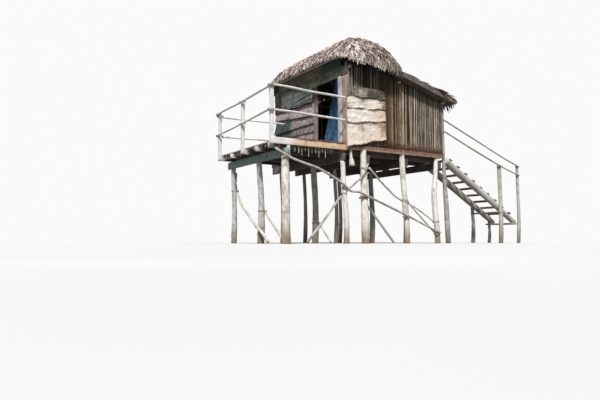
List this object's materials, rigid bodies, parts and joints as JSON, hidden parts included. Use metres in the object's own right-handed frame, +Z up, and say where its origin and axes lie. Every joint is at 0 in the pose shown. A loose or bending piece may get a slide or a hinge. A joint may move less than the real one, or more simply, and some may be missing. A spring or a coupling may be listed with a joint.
{
  "type": "thatched stilt house with a railed deck",
  "caption": "Small thatched timber hut on crooked stilts, with a railed open deck, a stick-walled side room under a lean-to roof and a log gangway.",
  "frame": {"origin": "centre of the foot of the stilt below the hut's door corner, at the waterline", "axes": "+X along the front from the deck to the gangway, +Y to the back, +Z up"},
  "size_m": [9.6723, 4.8466, 6.1073],
  "materials": {
    "pale_trunk": "peeled, bleached trunk, darker and yellower at its foot",
    "grey_trunk": "weathered grey trunk",
    "grey_pole": "weathered crooked pole",
    "bleached_timber": "bleached timber and peeled rail",
    "painted_plank": "worn blue-green paint on plank",
    "dark_plank": "dark damp timber",
    "floor_slats": "split floor slats",
    "fascia_plank": "orange-pink weathered plank, bleached at one end",
    "edge_timber": "pink-brown weathered timber",
    "board": "pink-grey lapped board",
    "jamb": "grey-white weathered timber",
    "red_pole": "thin red-brown pole",
    "wall_sticks": "thin upright sticks, grey-brown with pale ones",
    "mat": "bleached plaited leaf mat",
    "thatch": "bleached grey-pink leaf thatch",
    "blue_cloth": "blue cloth",
    "green_cloth": "grey-green hung cloth"
  },
  "bodies": {
    "root": {"corner_stilt": "pale_trunk", "front_stilts": "pale_trunk", "deck_stilts": "pale_trunk", "corner_post": "pale_trunk", "end_stilt": "grey_trunk", "inner_stilts": "grey_trunk", "gangway_posts": "grey_trunk", "gangway_logs": "grey_trunk", "wall_posts": "grey_pole", "wall_plates": "grey_pole", "tie_poles": "grey_pole", "ridge_pole": "grey_pole", "rafters": "grey_pole", "side_rafters": "grey_pole", "long_brace": "grey_pole", "forked_brace": "grey_pole", "front_braces": "grey_pole", "deck_braces": "grey_pole", "gangway_crossbars": "grey_pole", "gangway_rails": "grey_pole", "hanging_sticks": "grey_pole", "rail_posts": "bleached_timber", "front_rails": "bleached_timber", "side_rails": "bleached_timber", "back_rails": "bleached_timber", "packing_post": "bleached_timber", "deck_bearer": "painted_plank", "house_bearers": "dark_plank", "house_joists": "dark_plank", "gangway_treads": "dark_plank", "deck_floor": "floor_slats", "house_floor": "floor_slats", "deck_joists": "floor_slats", "front_fascia": "fascia_plank", "house_edge_beam": "edge_timber", "corner_board": "edge_timber", "left_jamb": "edge_timber", "door_wall_boards": "board", "door_wall_stiles": "board", "lintel_board": "board", "right_jamb": "jamb", "corner_pole": "red_pole", "front_wall": "wall_sticks", "back_wall": "wall_sticks", "side_front_wall": "wall_sticks", "side_back_wall": "wall_sticks", "end_wall": "wall_sticks", "front_mats": "mat", "thatch_roof": "thatch", "side_roof": "thatch", "door_curtain": "blue_cloth", "window_blind": "green_cloth"}
  },
  "joints": []
}
